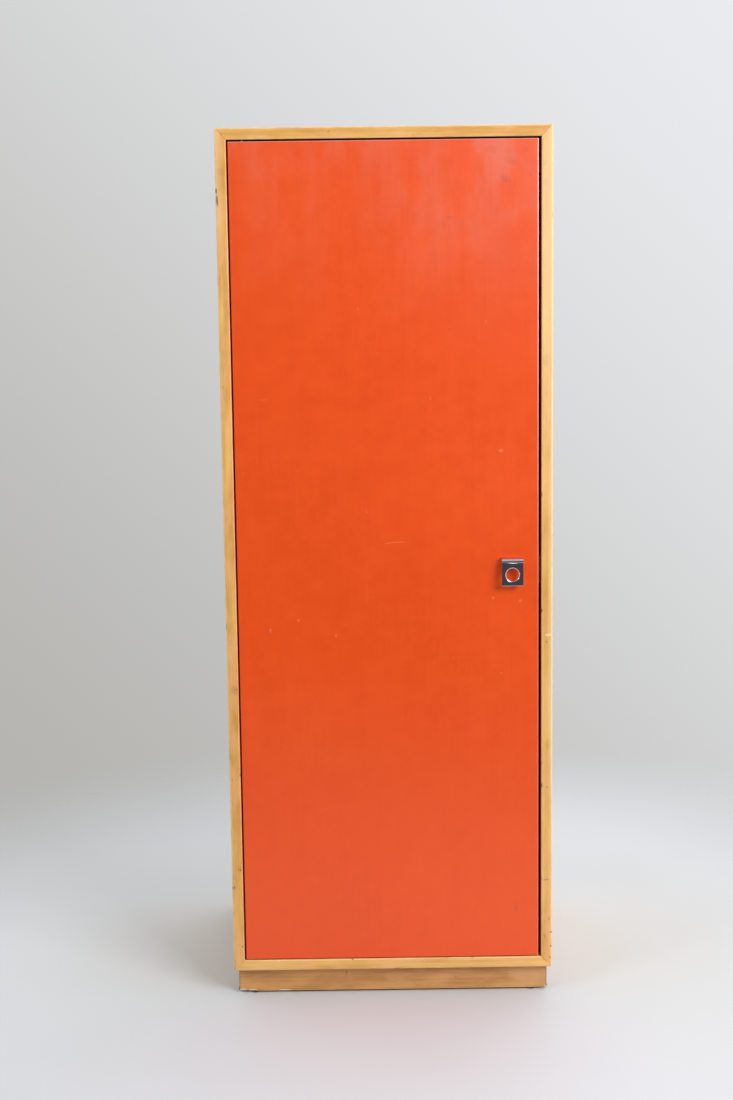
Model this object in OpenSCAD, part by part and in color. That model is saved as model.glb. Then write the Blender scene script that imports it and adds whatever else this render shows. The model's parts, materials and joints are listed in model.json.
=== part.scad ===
// School locker: a tall wooden wardrobe cabinet with one inset door.
// The carcass boards are mitred round a frame front, the painted door turns on
// concealed pivots at its left edge, and a chromed plate with a finger hole pulls it.
// Millimetres, +Z up. The door faces -Y and the floor is z = 0.
// The origin is on the floor, under the middle of the whole outline.

/* [Carcass] */
// Overall width across the side panels
body_w = 600; // [500:10:800]
// Overall height from the floor to the top
body_h = 1600; // [1400:10:2000]
// Depth from the frame front to the back
body_d = 500; // [420:10:600]
// Thickness of the carcass boards and width of the frame front
panel_t = 21; // [20:1:25]
// Depth of the solid wood lipping on the front edges
lipping_d = 20; // [18:1:24]
// Radius of the rounded long edges of the lipping
arris_r = 3; // [1:0.5:4]
// Thickness of the back panel
back_t = 5; // [4:1:6]

/* [Plinth] */
// Height from the floor to the underside of the carcass
plinth_h = 51; // [45:1:100]
// Thickness of the plinth boards
plinth_t = 18; // [16:1:20]
// Distance of the plinth behind the frame front
plinth_set_front = 18; // [10:1:60]
// Distance of the plinth in from each side
plinth_set_side = 8; // [4:1:30]
// Distance of the plinth in from the back
plinth_set_back = 20; // [10:1:60]
// Height of the floor glides
glide_h = 3; // [2:0.5:5]

/* [Door] */
// Thickness of the door
door_t = 19; // [18:1:20]
// Thickness of each door skin
skin_t = 3; // [2.5:0.5:3.5]
// Width of the stiles and rails inside the door
stile_w = 72; // [72:2:90]
// Gap at the hinge side
gap_left = 2.6; // [2.4:0.1:4]
// Gap at the opening side
gap_right = 5; // [3:0.5:6]
// Gap over the door
gap_top = 3; // [2.5:0.5:4]
// Gap under the door
gap_bottom = 2; // [2:0.5:4]
// Distance of the pivot axis in from the hinge edge of the door
pivot_in = 24; // [22:1:26]

/* [Pull] */
// Width of the pull plate
pull_w = 39; // [36:1:50]
// Height of the pull plate
pull_h = 51; // [50:1:60]
// Thickness of the pull plate
pull_t = 3; // [2.5:0.5:4]
// Distance of the plate's front from the door
pull_out = 17; // [15:1:20]
// Diameter of the finger hole
hole_d = 23; // [20:1:25]
// Radius of the rounded front edge of the finger hole
hole_edge_r = 2.3; // [1:0.1:2.4]
// Distance of the pull's middle from the opening edge of the door
pull_edge = 49; // [46:1:52]
// Height of the pull's middle above the floor
pull_z = 805; // [700:5:900]

/* [Interior] */
// Clear height over the hat shelf
hat_space = 280; // [220:10:400]
// Thickness of the hat shelf
shelf_t = 18; // [16:1:20]
// Distance of the hat shelf behind the frame front
shelf_set = 45; // [42:1:80]
// Outside diameter of the clothes rail
rail_d = 25; // [20:1:30]
// Distance of the rail's middle below the hat shelf
rail_drop = 55; // [45:5:80]

/* [Hidden] */
$fn = 64;
eps = 0.1;
running = 0.05; // radial clearance of pins, screws and tongues in their holes

// Outline of the whole locker
front_y = -(body_d - pull_out) / 2;
back_y = front_y + body_d;
half_w = body_w / 2;
base_z = plinth_h;
side_x = half_w - panel_t; // inner face of a side panel
floor_z = base_z + panel_t; // upper face of the bottom panel
roof_z = body_h - panel_t; // lower face of the top panel
board_y = front_y + lipping_d;

// Corners of the frame front, from the lower left one, clockwise
OUTER = [[-half_w, base_z], [-half_w, body_h], [half_w, body_h], [half_w, base_z]];
INNER = [[-side_x, floor_z], [-side_x, roof_z], [side_x, roof_z], [side_x, floor_z]];
LEFT = 0;
TOP = 1;
RIGHT = 2;
BOTTOM = 3;

// Tongues across the mitres
tongue_t = 4;
tongue_w = 14;
tongue_in = 12; // distance from the inner corner, along the mitre
tongue_stop = 25; // left uncut at each end

// Back panel in its rebate
rebate_w = 9;
back_play = 0.5;
back_screw_d = 3;
back_screw_l = 20;
back_head_d = 6;
back_head_h = 1.6;
back_inset = 60; // from the corner to the first screw
back_rows = 5;
back_columns = 3;

// Door leaf
door_x0 = -side_x + gap_left;
door_x1 = side_x - gap_right;
door_z0 = floor_z + gap_bottom;
door_z1 = roof_z - gap_top;
door_back_y = front_y + door_t;
core_y0 = front_y + skin_t;
core_y1 = door_back_y - skin_t;

// Pivot hinges: the upper pin stands on the door, the lower one on the frame
pivot_x = door_x0 + pivot_in;
pivot_y = front_y + door_t / 2;
pivot_pin_r = 3;
bush_r = 5;
bush_l = 12;
plate_t = 2;
plate_w = 12;
plate_lo = -12; // ends of a pivot plate, measured from the pivot axis
plate_hi = 44;
PLATE_SCREWS = [15, 35];
pin_grip = 18; // length of pin held in the wood
pin_free = 11; // length of pin in the bush
washer_r = 6;
washer_gap = 0.2;
plate_screw_d = 3;
plate_screw_l = 15;
plate_head_d = 5.6;
plate_head_h = 1.5;

// Pull, measured from the lower edge of the plate
pull_x = door_x1 - pull_edge;
pull_z0 = pull_z - pull_h / 2;
pull_foot = 12; // height of the solid foot at the top
pull_bend_r = 11; // outer radius of the bend into the foot
pull_fillet_r = 4;
pull_hole_z = 20.5;
pull_screw_d = 4;
pull_screw_gap = 24;
pull_screw_bite = 9;
pull_screw_l = door_t + pull_screw_bite;
pull_head_d = 8;
pull_head_h = 2.4;

// Catch and stops at the opening side
catch_w = 22;
catch_d = 24;
catch_h = 50;
catch_z = pull_z;
catch_gap = 0.3;
strike_t = 1.5;
strike_w = 12;
strike_h = 44;
pole_t = 2;
pole_h = 26;
pole_proud = 1;
pole_gap = 5; // thickness of the magnet between the pole plates
catch_wall_x = side_x - catch_w / 2; // middle of the catch
catch_y0 = door_back_y + strike_t + catch_gap + pole_proud;
catch_screw_gap = 38;
catch_bite = 12;
catch_screw_l = catch_w + catch_bite;
catch_insert_d = 15; // depth of the magnet and its pole plates in the housing
small_screw_d = 3;
small_head_d = 5.6;
small_head_h = 1.5;
strike_screw_l = 12;
strike_screw_gap = 32;
STOP_SIZE = [20, 24, 60];
stop_pad_t = 1.5;

// Hat shelf and clothes rail
shelf_z = roof_z - hat_space - shelf_t;
shelf_play = 0.5;
shelf_lipping_d = 8;
shelf_pin_r = 2.5;
shelf_pin_hold = 8; // length of pin in the board
shelf_pin_free = 10;
SHELF_PIN_Y = [front_y + 110, back_y - 80];
rail_z = shelf_z - rail_drop;
rail_y = (board_y + back_y - back_t) / 2;
rail_wall = 1.5;
socket_r = 26;
socket_t = 3;
socket_cup_t = 3;
socket_cup_l = 12;
socket_screw_r = 20;
socket_screw_d = 4;
socket_screw_l = 16;
socket_head_d = 7;
socket_head_h = 1.8;

// Plinth
plinth_x = half_w - plinth_set_side;
plinth_y0 = front_y + plinth_set_front;
plinth_y1 = back_y - plinth_set_back;
block_w = 34;
block_lift = 2; // the corner blocks stay clear of the floor
block_x = plinth_x - plinth_t - block_w / 2;
BLOCK_Y = [plinth_y0 + plinth_t + block_w / 2, plinth_y1 - plinth_t - block_w / 2];
plinth_screw_d = 4.5;
plinth_head_d = 9;
plinth_head_h = 2.4;
plinth_sink = 18; // the screw heads sit this far up the blocks
plinth_bite = 15;
plinth_screw_l = plinth_h + plinth_bite - glide_h - plinth_sink + plinth_head_h;
glide_r = 8;
glide_in = 30; // from the plinth's corner, along the front and back boards
glide_nail_r = 1;
glide_nail_l = 12;

wood = "#dfae6c";
plinth_wood = "#b37f4d";
paint = "#ec5626";
steel = "#9a9ca0";

// ---- shared shapes ----

// A box from its lowest corner to its highest corner
module box(lo, hi) {
    translate(lo) cube(hi - lo);
}

// A flat outline in X and Z, drawn out from y0 to y1
module slab_y(y0, y1) {
    translate([0, y1, 0]) rotate([90, 0, 0]) linear_extrude(y1 - y0) children();
}

// A countersunk wood screw: head flush with z = 0, shank down -Z
module screw(d, length, head_d, head_h) {
    slot_w = head_d * 0.16;
    difference() {
        union() {
            translate([0, 0, -head_h]) cylinder(h = head_h, d1 = d, d2 = head_d);
            translate([0, 0, -length + d]) cylinder(h = length - d - head_h / 2, d = d);
            translate([0, 0, -length]) cylinder(h = d, d1 = d * 0.25, d2 = d);
        }
        for (turn = [0, 90])
            rotate([0, 0, turn])
                box([-slot_w / 2, -head_d * 0.32, -head_h * 0.6], [slot_w / 2, head_d * 0.32, eps]);
    }
}

// The hole that such a screw fills
module screw_hole(d, length, head_d, head_h) {
    play = 2 * running;
    translate([0, 0, -length - running]) cylinder(h = length + 1, d = d + play);
    translate([0, 0, -head_h - running]) cylinder(h = head_h, d1 = d + play, d2 = head_d + play);
    translate([0, 0, -2 * running]) cylinder(h = 1, d = head_d + play);
}

// ---- carcass ----

// One mitred side of the frame, as an outline in X and Z
module mitred_side(k) {
    n = (k + 1) % 4;
    polygon([OUTER[k], OUTER[n], INNER[n], INNER[k]]);
}

// A tongue across each mitre, run along Y
module mitre_tongues(play) {
    reach = tongue_in / sqrt(2);
    for (sx = [-1, 1], sz = [-1, 1]) {
        corner_z = sz > 0 ? roof_z : floor_z;
        translate([sx * (side_x + reach), 0, corner_z + sz * reach])
            rotate([0, sx * sz * 45, 0])
                box([-tongue_w / 2 - play, board_y + tongue_stop - play, -tongue_t / 2 - play],
                    [tongue_w / 2 + play, back_y - tongue_stop + play, tongue_t / 2 + play]);
    }
}

// The rebate that the back panel lies in
module back_rebate() {
    box([-side_x - rebate_w, back_y - back_t, floor_z - rebate_w],
        [side_x + rebate_w, back_y + 1, roof_z + rebate_w]);
}

// Places of the back panel's screws, head outwards along +Y
module at_back_screws() {
    edge = rebate_w / 2;
    side_step = (roof_z - floor_z - 2 * back_inset) / (back_rows - 1);
    end_step = 2 * (side_x - back_inset) / (back_columns - 1);
    for (sx = [-1, 1], i = [0 : back_rows - 1])
        translate([sx * (side_x + edge), back_y, floor_z + back_inset + i * side_step])
            rotate([-90, 0, 0]) children();
    for (z = [floor_z - edge, roof_z + edge], i = [0 : back_columns - 1])
        translate([-side_x + back_inset + i * end_step, back_y, z])
            rotate([-90, 0, 0]) children();
}

module back_screw_holes() {
    at_back_screws() screw_hole(back_screw_d, back_screw_l, back_head_d, back_head_h);
}

module carcass_board(k) {
    difference() {
        slab_y(board_y, back_y) mitred_side(k);
        mitre_tongues(running);
        back_rebate();
        back_screw_holes();
    }
}

// A strip of the frame front: square behind, both front edges rounded
module lipping_section() {
    difference() {
        square([panel_t, lipping_d]);
        for (far = [0, 1])
            translate([far * panel_t, 0]) mirror([far, 0])
                difference() {
                    translate([-eps, -eps]) square(arris_r + eps);
                    translate([arris_r, arris_r]) circle(arris_r);
                }
    }
}

module upright_strip() {
    translate([0, front_y, base_z]) linear_extrude(body_h - base_z) lipping_section();
}

module level_strip() {
    translate([-half_w, front_y, 0])
        rotate([90, 0, 90]) linear_extrude(body_w)
            mirror([1, -1]) lipping_section();
}

module lipping(k) {
    intersection() {
        slab_y(front_y - 1, board_y) mitred_side(k);
        if (k == LEFT) translate([-half_w, 0, 0]) upright_strip();
        if (k == RIGHT) translate([side_x, 0, 0]) upright_strip();
        if (k == TOP) translate([0, 0, roof_z]) level_strip();
        if (k == BOTTOM) translate([0, 0, base_z]) level_strip();
    }
}

module left_side_panel() {
    color(wood) difference() {
        carcass_board(LEFT);
        shelf_pin_holes();
        rail_screw_holes();
    }
}

module right_side_panel() {
    color(wood) difference() {
        carcass_board(RIGHT);
        shelf_pin_holes();
        rail_screw_holes();
        catch_screw_holes();
    }
}

module top_panel() {
    color(wood) carcass_board(TOP);
}

module bottom_panel() {
    color(wood) difference() {
        carcass_board(BOTTOM);
        plinth_screw_holes();
    }
}

module left_lipping() {
    color(wood) lipping(LEFT);
}

module right_lipping() {
    color(wood) lipping(RIGHT);
}

module top_lipping() {
    color(wood) difference() {
        lipping(TOP);
        translate([pivot_x, pivot_y, roof_z]) pivot_mortise(bush_r, bush_l);
    }
}

module bottom_lipping() {
    color(wood) difference() {
        lipping(BOTTOM);
        translate([pivot_x, pivot_y, floor_z]) rotate([180, 0, 0])
            pivot_mortise(pivot_pin_r, pin_grip - plate_t);
    }
}

module corner_tongues() {
    color("#c89a62") mitre_tongues(0);
}

module back_panel() {
    color("#d8b888") difference() {
        box([-side_x - rebate_w + back_play, back_y - back_t, floor_z - rebate_w + back_play],
            [side_x + rebate_w - back_play, back_y, roof_z + rebate_w - back_play]);
        back_screw_holes();
    }
}

module back_panel_screws() {
    color(steel) at_back_screws() screw(back_screw_d, back_screw_l, back_head_d, back_head_h);
}

// ---- plinth ----

module plinth_board(lo, hi) {
    color(plinth_wood) difference() {
        box([lo[0], lo[1], glide_h], [hi[0], hi[1], plinth_h]);
        glide_nail_holes();
    }
}

module plinth_front() {
    plinth_board([-plinth_x, plinth_y0], [plinth_x, plinth_y0 + plinth_t]);
}

module plinth_back() {
    plinth_board([-plinth_x, plinth_y1 - plinth_t], [plinth_x, plinth_y1]);
}

module plinth_left() {
    plinth_board([-plinth_x, plinth_y0 + plinth_t], [-plinth_x + plinth_t, plinth_y1 - plinth_t]);
}

module plinth_right() {
    plinth_board([plinth_x - plinth_t, plinth_y0 + plinth_t], [plinth_x, plinth_y1 - plinth_t]);
}

// Places of the four corner blocks, at the floor
module at_blocks() {
    for (sx = [-1, 1], y = BLOCK_Y)
        translate([sx * block_x, y, 0]) children();
}

module plinth_corner_blocks() {
    color(plinth_wood) at_blocks() difference() {
        box([-block_w / 2, -block_w / 2, glide_h + block_lift], [block_w / 2, block_w / 2, plinth_h]);
        translate([0, 0, glide_h]) cylinder(h = plinth_sink, d = plinth_head_d + 1);
        cylinder(h = plinth_h + 1, d = plinth_screw_d + 2 * running);
    }
}

// The screws stand upside down, so their heads bear on the counterbores
module at_plinth_screws() {
    at_blocks() translate([0, 0, glide_h + plinth_sink - plinth_head_h]) rotate([180, 0, 0]) children();
}

module plinth_screws() {
    color(steel) at_plinth_screws()
        screw(plinth_screw_d, plinth_screw_l, plinth_head_d, plinth_head_h);
}

module plinth_screw_holes() {
    at_plinth_screws()
        screw_hole(plinth_screw_d, plinth_screw_l, plinth_head_d, plinth_head_h);
}

module at_glides() {
    for (sx = [-1, 1], y = [plinth_y0 + plinth_t / 2, plinth_y1 - plinth_t / 2])
        translate([sx * (plinth_x - glide_in), y, 0]) children();
}

module floor_glides() {
    color("#3a3632") at_glides() {
        cylinder(h = glide_h / 3, r1 = glide_r - 1, r2 = glide_r);
        translate([0, 0, glide_h / 3]) cylinder(h = glide_h * 2 / 3, r = glide_r);
        translate([0, 0, glide_h / 2]) cylinder(h = glide_h / 2 + glide_nail_l, r = glide_nail_r);
    }
}

module glide_nail_holes() {
    at_glides() cylinder(h = glide_h + glide_nail_l + running, r = glide_nail_r + running);
}

// ---- interior ----

module hat_shelf() {
    color(wood)
        box([-side_x + shelf_play, front_y + shelf_set + shelf_lipping_d, shelf_z],
            [side_x - shelf_play, back_y - back_t - shelf_play, shelf_z + shelf_t]);
}

module hat_shelf_lipping() {
    color(wood)
        box([-side_x + shelf_play, front_y + shelf_set, shelf_z],
            [side_x - shelf_play, front_y + shelf_set + shelf_lipping_d, shelf_z + shelf_t]);
}

// Places of the shelf pins: +Z of a child points into the side panel
module at_shelf_pins() {
    for (sx = [-1, 1], y = SHELF_PIN_Y)
        translate([sx * side_x, y, shelf_z - shelf_pin_r]) rotate([0, sx * 90, 0]) children();
}

module shelf_pins() {
    color(steel) at_shelf_pins()
        translate([0, 0, -shelf_pin_free])
            cylinder(h = shelf_pin_hold + shelf_pin_free, r = shelf_pin_r);
}

module shelf_pin_holes() {
    at_shelf_pins() translate([0, 0, -1])
        cylinder(h = shelf_pin_hold + running + 1, r = shelf_pin_r + running);
}

module clothes_rail() {
    rail_half = side_x - socket_t - running;
    color("silver") translate([-rail_half, rail_y, rail_z]) rotate([0, 90, 0])
        difference() {
            cylinder(h = 2 * rail_half, d = rail_d);
            translate([0, 0, -1]) cylinder(h = 2 * rail_half + 2, d = rail_d - 2 * rail_wall);
        }
}

// A round socket: flange on the side panel at z = 0, cup up +Z
module rail_socket() {
    cup_r = rail_d / 2 + running;
    color("silver") difference() {
        union() {
            cylinder(h = socket_t, r = socket_r);
            cylinder(h = socket_t + socket_cup_l, r = cup_r + socket_cup_t);
        }
        translate([0, 0, socket_t]) cylinder(h = socket_cup_l + 1, r = cup_r);
        at_socket_holes() screw_hole(socket_screw_d, socket_screw_l, socket_head_d, socket_head_h);
    }
}

module at_socket_holes() {
    for (turn = [0, 180])
        rotate([0, 0, turn]) translate([socket_screw_r, 0, socket_t]) children();
}

// Places of the two sockets: +Z of a child points away from the side panel
module at_socket(sx) {
    translate([sx * side_x, rail_y, rail_z]) rotate([0, -sx * 90, 0]) children();
}

module rail_socket_left() {
    at_socket(-1) rail_socket();
}

module rail_socket_right() {
    at_socket(1) rail_socket();
}

module rail_socket_screws() {
    color(steel) for (sx = [-1, 1])
        at_socket(sx) at_socket_holes()
            screw(socket_screw_d, socket_screw_l, socket_head_d, socket_head_h);
}

module rail_screw_holes() {
    for (sx = [-1, 1])
        at_socket(sx) at_socket_holes()
            screw_hole(socket_screw_d, socket_screw_l, socket_head_d, socket_head_h);
}

// ---- pivots ----

// Outline of a pivot plate in X and Y, about the pivot axis
module plate_outline(play) {
    end_r = plate_w / 2 + play;
    for (x = [plate_lo + plate_w / 2, plate_hi - plate_w / 2])
        translate([x, 0]) circle(end_r);
    translate([plate_lo + plate_w / 2, -end_r])
        square([plate_hi - plate_lo - plate_w, 2 * end_r]);
}

// Screws of a plate whose outer face is z = 0
module at_plate_screws() {
    for (x = PLATE_SCREWS) translate([x, 0, 0]) children();
}

module plate_screw_holes() {
    at_plate_screws() screw_hole(plate_screw_d, plate_screw_l, plate_head_d, plate_head_h);
}

module plate_screws() {
    at_plate_screws() screw(plate_screw_d, plate_screw_l, plate_head_d, plate_head_h);
}

// A plate with its outer face at z = 0 and its body below
module pivot_plate(hole_r) {
    color(steel) difference() {
        translate([0, 0, -plate_t]) linear_extrude(plate_t) plate_outline(0);
        translate([0, 0, -plate_t - 1]) cylinder(h = plate_t + 2, r = hole_r + running);
        plate_screw_holes();
    }
}

// What is cut from the wood for a plate and its pin or bush, up +Z from z = 0
module pivot_mortise(hole_r, depth) {
    translate([0, 0, -1]) linear_extrude(1 + plate_t) plate_outline(2 * running);
    translate([0, 0, -1]) cylinder(h = 1 + depth + running, r = hole_r + running);
    rotate([180, 0, 0]) plate_screw_holes();
}

module bush() {
    color("ivory") difference() {
        cylinder(h = bush_l, r = bush_r);
        translate([0, 0, -1]) cylinder(h = bush_l + 2, r = pivot_pin_r + running);
    }
}

module at_pivot(z) {
    translate([pivot_x, pivot_y, z]) children();
}

module upper_frame_plate() {
    at_pivot(roof_z) rotate([180, 0, 0]) pivot_plate(bush_r);
}

module upper_pivot_bush() {
    at_pivot(roof_z) bush();
}

module upper_door_plate() {
    at_pivot(door_z1) pivot_plate(pivot_pin_r);
}

module upper_pivot_pin() {
    color(steel) at_pivot(door_z1 - pin_grip)
        cylinder(h = pin_grip + gap_top + pin_free, r = pivot_pin_r);
}

module lower_frame_plate() {
    at_pivot(floor_z) pivot_plate(pivot_pin_r);
}

module lower_pivot_pin() {
    color(steel) at_pivot(floor_z - pin_grip + plate_t)
        cylinder(h = pin_grip - plate_t + gap_bottom + pin_free, r = pivot_pin_r);
}

module thrust_washer() {
    color("ivory") at_pivot(floor_z) difference() {
        cylinder(h = gap_bottom - washer_gap, r = washer_r);
        translate([0, 0, -1]) cylinder(h = gap_bottom + 1, r = pivot_pin_r + running);
    }
}

module lower_door_plate() {
    at_pivot(door_z0) rotate([180, 0, 0]) pivot_plate(bush_r);
}

module lower_pivot_bush() {
    at_pivot(door_z0) bush();
}

module frame_plate_screws() {
    color(steel) {
        at_pivot(roof_z) rotate([180, 0, 0]) plate_screws();
        at_pivot(floor_z) plate_screws();
    }
}

module door_plate_screws() {
    color(steel) {
        at_pivot(door_z1) plate_screws();
        at_pivot(door_z0) rotate([180, 0, 0]) plate_screws();
    }
}

// ---- catch and stops ----

// Screws through the catch into the right side panel, head towards -X
module at_catch_screws() {
    for (sz = [-1, 1])
        translate([side_x - catch_w, catch_y0 + catch_d / 2, catch_z + sz * catch_screw_gap / 2])
            rotate([0, -90, 0]) children();
}

module catch_screw_holes() {
    at_catch_screws() screw_hole(small_screw_d, catch_screw_l, small_head_d, small_head_h);
}

module catch_screws() {
    color(steel) at_catch_screws()
        screw(small_screw_d, catch_screw_l, small_head_d, small_head_h);
}

// The magnet and its two pole plates, as boxes in X from the catch's middle
module catch_insert(x0, x1, front, rear, play) {
    box([catch_wall_x + x0 - play, catch_y0 - front, catch_z - pole_h / 2 - play],
        [catch_wall_x + x1 + play, catch_y0 + rear + play, catch_z + pole_h / 2 + play]);
}

module catch_housing() {
    insert_x = pole_gap / 2 + pole_t;
    color("#f1ede2") difference() {
        box([side_x - catch_w, catch_y0, catch_z - catch_h / 2],
            [side_x, catch_y0 + catch_d, catch_z + catch_h / 2]);
        catch_insert(-insert_x, insert_x, 1, catch_insert_d, running);
        catch_screw_holes();
    }
}

module catch_magnet() {
    color("#3b3b3d") catch_insert(-pole_gap / 2, pole_gap / 2, 0, catch_insert_d, 0);
}

module catch_pole_plates() {
    color(steel) for (x = [-pole_gap / 2 - pole_t, pole_gap / 2])
        catch_insert(x, x + pole_t, pole_proud, catch_insert_d, 0);
}

// Places of the stops: the lower corner nearest the door, on the inner face of the panel
module at_stops(y) {
    for (z = [floor_z, roof_z - STOP_SIZE[2]])
        translate([side_x - STOP_SIZE[0], y, z]) children();
}

module door_stop_blocks() {
    color(wood) at_stops(door_back_y + catch_gap + stop_pad_t) cube(STOP_SIZE);
}

module door_stop_pads() {
    color("#6f675c") at_stops(door_back_y + catch_gap)
        cube([STOP_SIZE[0], stop_pad_t, STOP_SIZE[2]]);
}

// ---- door ----

// Screws through the door into the pull's foot, head inwards along +Y
module at_pull_screws() {
    for (sx = [-1, 1])
        translate([pull_x + sx * pull_screw_gap / 2, door_back_y, pull_z0 + pull_h - pull_foot / 2])
            rotate([-90, 0, 0]) children();
}

module pull_screw_holes() {
    at_pull_screws() screw_hole(pull_screw_d, pull_screw_l, pull_head_d, pull_head_h);
}

module pull_screws() {
    color(steel) at_pull_screws()
        screw(pull_screw_d, pull_screw_l, pull_head_d, pull_head_h);
}

// Screws of the strike plate, head outwards along +Y
module at_strike_screws() {
    for (sz = [-1, 1])
        translate([catch_wall_x, door_back_y + strike_t, catch_z + sz * strike_screw_gap / 2])
            rotate([-90, 0, 0]) children();
}

module strike_screw_holes() {
    at_strike_screws() screw_hole(small_screw_d, strike_screw_l, small_head_d, small_head_h);
}

module strike_screws() {
    color(steel) at_strike_screws()
        screw(small_screw_d, strike_screw_l, small_head_d, small_head_h);
}

module strike_plate() {
    color(steel) difference() {
        box([catch_wall_x - strike_w / 2, door_back_y, catch_z - strike_h / 2],
            [door_x1 - eps, door_back_y + strike_t, catch_z + strike_h / 2]);
        strike_screw_holes();
    }
}

// A member of the door's inner frame, as a box in X and Z between the skins
module door_member(lo, hi) {
    color("#d9a866") box([lo[0], core_y0, lo[1]], [hi[0], core_y1, hi[1]]);
}

module door_left_stile() {
    difference() {
        door_member([door_x0, door_z0], [door_x0 + stile_w, door_z1]);
        at_pivot(door_z1) rotate([180, 0, 0]) pivot_mortise(pivot_pin_r, pin_grip);
        at_pivot(door_z0) pivot_mortise(bush_r, bush_l);
    }
}

module door_right_stile() {
    difference() {
        door_member([door_x1 - stile_w, door_z0], [door_x1, door_z1]);
        pull_screw_holes();
        strike_screw_holes();
    }
}

module door_top_rail() {
    door_member([door_x0 + stile_w, door_z1 - stile_w], [door_x1 - stile_w, door_z1]);
}

module door_bottom_rail() {
    door_member([door_x0 + stile_w, door_z0], [door_x1 - stile_w, door_z0 + stile_w]);
}

module door_core() {
    door_member([door_x0 + stile_w, door_z0 + stile_w], [door_x1 - stile_w, door_z1 - stile_w]);
}

module door_skin(y0) {
    color(paint) difference() {
        box([door_x0, y0, door_z0], [door_x1, y0 + skin_t, door_z1]);
        pull_screw_holes();
        strike_screw_holes();
    }
}

module door_front_skin() {
    door_skin(front_y);
}

module door_back_skin() {
    door_skin(core_y1);
}

// Side view of the pull: forwards is +X, up is +Y, the door's face is x = 0
module pull_profile() {
    difference() {
        square([pull_out, pull_h]);
        translate([-eps, -1]) square([pull_out - pull_t - pull_fillet_r + eps, pull_h - pull_foot + 1]);
        translate([-eps, -1])
            square([pull_out - pull_t + eps, pull_h - pull_foot - pull_fillet_r + 1]);
        translate([pull_out - pull_t - pull_fillet_r, pull_h - pull_foot - pull_fillet_r])
            circle(pull_fillet_r);
        difference() {
            translate([pull_out - pull_bend_r, pull_h - pull_bend_r]) square(pull_bend_r + 1);
            translate([pull_out - pull_bend_r, pull_h - pull_bend_r]) circle(pull_bend_r);
        }
    }
}

// The finger hole, from the middle of its front rim
module finger_hole() {
    rotate([90, 0, 0]) {
        translate([0, 0, -pull_t - 1]) cylinder(h = pull_t + 2, d = hole_d);
        rotate_extrude() difference() {
            translate([hole_d / 2 - 1, -hole_edge_r]) square(hole_edge_r + 1);
            translate([hole_d / 2 + hole_edge_r, -hole_edge_r]) circle(hole_edge_r);
        }
    }
}

module pull_plate() {
    color("silver") difference() {
        translate([pull_x - pull_w / 2, front_y, pull_z0])
            rotate([90, 0, -90]) mirror([0, 0, 1]) linear_extrude(pull_w) pull_profile();
        translate([pull_x, front_y - pull_out, pull_z0 + pull_hole_z]) finger_hole();
        pull_screw_holes();
    }
}

// ---- assembly ----

left_side_panel();
right_side_panel();
top_panel();
bottom_panel();
left_lipping();
right_lipping();
top_lipping();
bottom_lipping();
corner_tongues();
back_panel();
back_panel_screws();
plinth_front();
plinth_back();
plinth_left();
plinth_right();
plinth_corner_blocks();
plinth_screws();
floor_glides();
hat_shelf();
hat_shelf_lipping();
shelf_pins();
clothes_rail();
rail_socket_left();
rail_socket_right();
rail_socket_screws();
upper_frame_plate();
upper_pivot_bush();
lower_frame_plate();
lower_pivot_pin();
thrust_washer();
frame_plate_screws();
catch_housing();
catch_magnet();
catch_pole_plates();
catch_screws();
door_stop_blocks();
door_stop_pads();
door_left_stile();
door_right_stile();
door_top_rail();
door_bottom_rail();
door_core();
door_front_skin();
door_back_skin();
upper_door_plate();
upper_pivot_pin();
lower_door_plate();
lower_pivot_bush();
door_plate_screws();
strike_plate();
strike_screws();
pull_plate();
pull_screws();
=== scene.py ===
"""School locker: the looks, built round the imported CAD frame.

Metres, +Z up, the door faces -Y. Places and sizes come from the boxes of the frame's own nodes.
"""

import json
import math
import random
from collections import namedtuple

import bmesh
import bpy
from mathutils import Matrix, Vector


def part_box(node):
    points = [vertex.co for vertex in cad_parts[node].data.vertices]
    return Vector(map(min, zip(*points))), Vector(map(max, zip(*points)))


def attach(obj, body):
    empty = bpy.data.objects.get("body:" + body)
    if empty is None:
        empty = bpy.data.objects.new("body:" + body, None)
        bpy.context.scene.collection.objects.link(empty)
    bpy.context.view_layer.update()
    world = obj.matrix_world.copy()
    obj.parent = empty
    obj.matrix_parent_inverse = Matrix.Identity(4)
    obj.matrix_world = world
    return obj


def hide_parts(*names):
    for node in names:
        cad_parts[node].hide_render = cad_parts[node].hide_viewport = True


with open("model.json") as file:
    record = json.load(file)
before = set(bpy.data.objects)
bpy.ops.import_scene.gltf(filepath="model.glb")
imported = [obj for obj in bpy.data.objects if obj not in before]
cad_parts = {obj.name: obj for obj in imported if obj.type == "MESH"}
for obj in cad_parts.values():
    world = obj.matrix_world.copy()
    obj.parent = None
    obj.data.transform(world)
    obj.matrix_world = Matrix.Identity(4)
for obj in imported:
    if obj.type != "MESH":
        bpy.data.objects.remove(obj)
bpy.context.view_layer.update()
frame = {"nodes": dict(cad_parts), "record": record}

MM = 0.001
RECORD = frame["record"]
BODY_OF = {node: body for body, nodes in RECORD["behaviour"]["bodies"].items() for node in nodes}
SLOT_OF = {part["node"]: part["material_slot"] for part in RECORD["subparts"]}

# Driving places, all read from the frame
frame_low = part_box("left_lipping")[0]
frame_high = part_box("right_lipping")[1]
strip_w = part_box("left_lipping")[1].x - frame_low.x
front_y = frame_low.y
board_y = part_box("left_lipping")[1].y
back_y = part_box("left_side_panel")[1].y
door_low, door_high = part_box("door_front_skin")
door_back_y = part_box("door_back_skin")[1].y
door_mid = (door_low + Vector((door_high.x, door_back_y, door_high.z))) / 2


# ---- node materials ----


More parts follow.
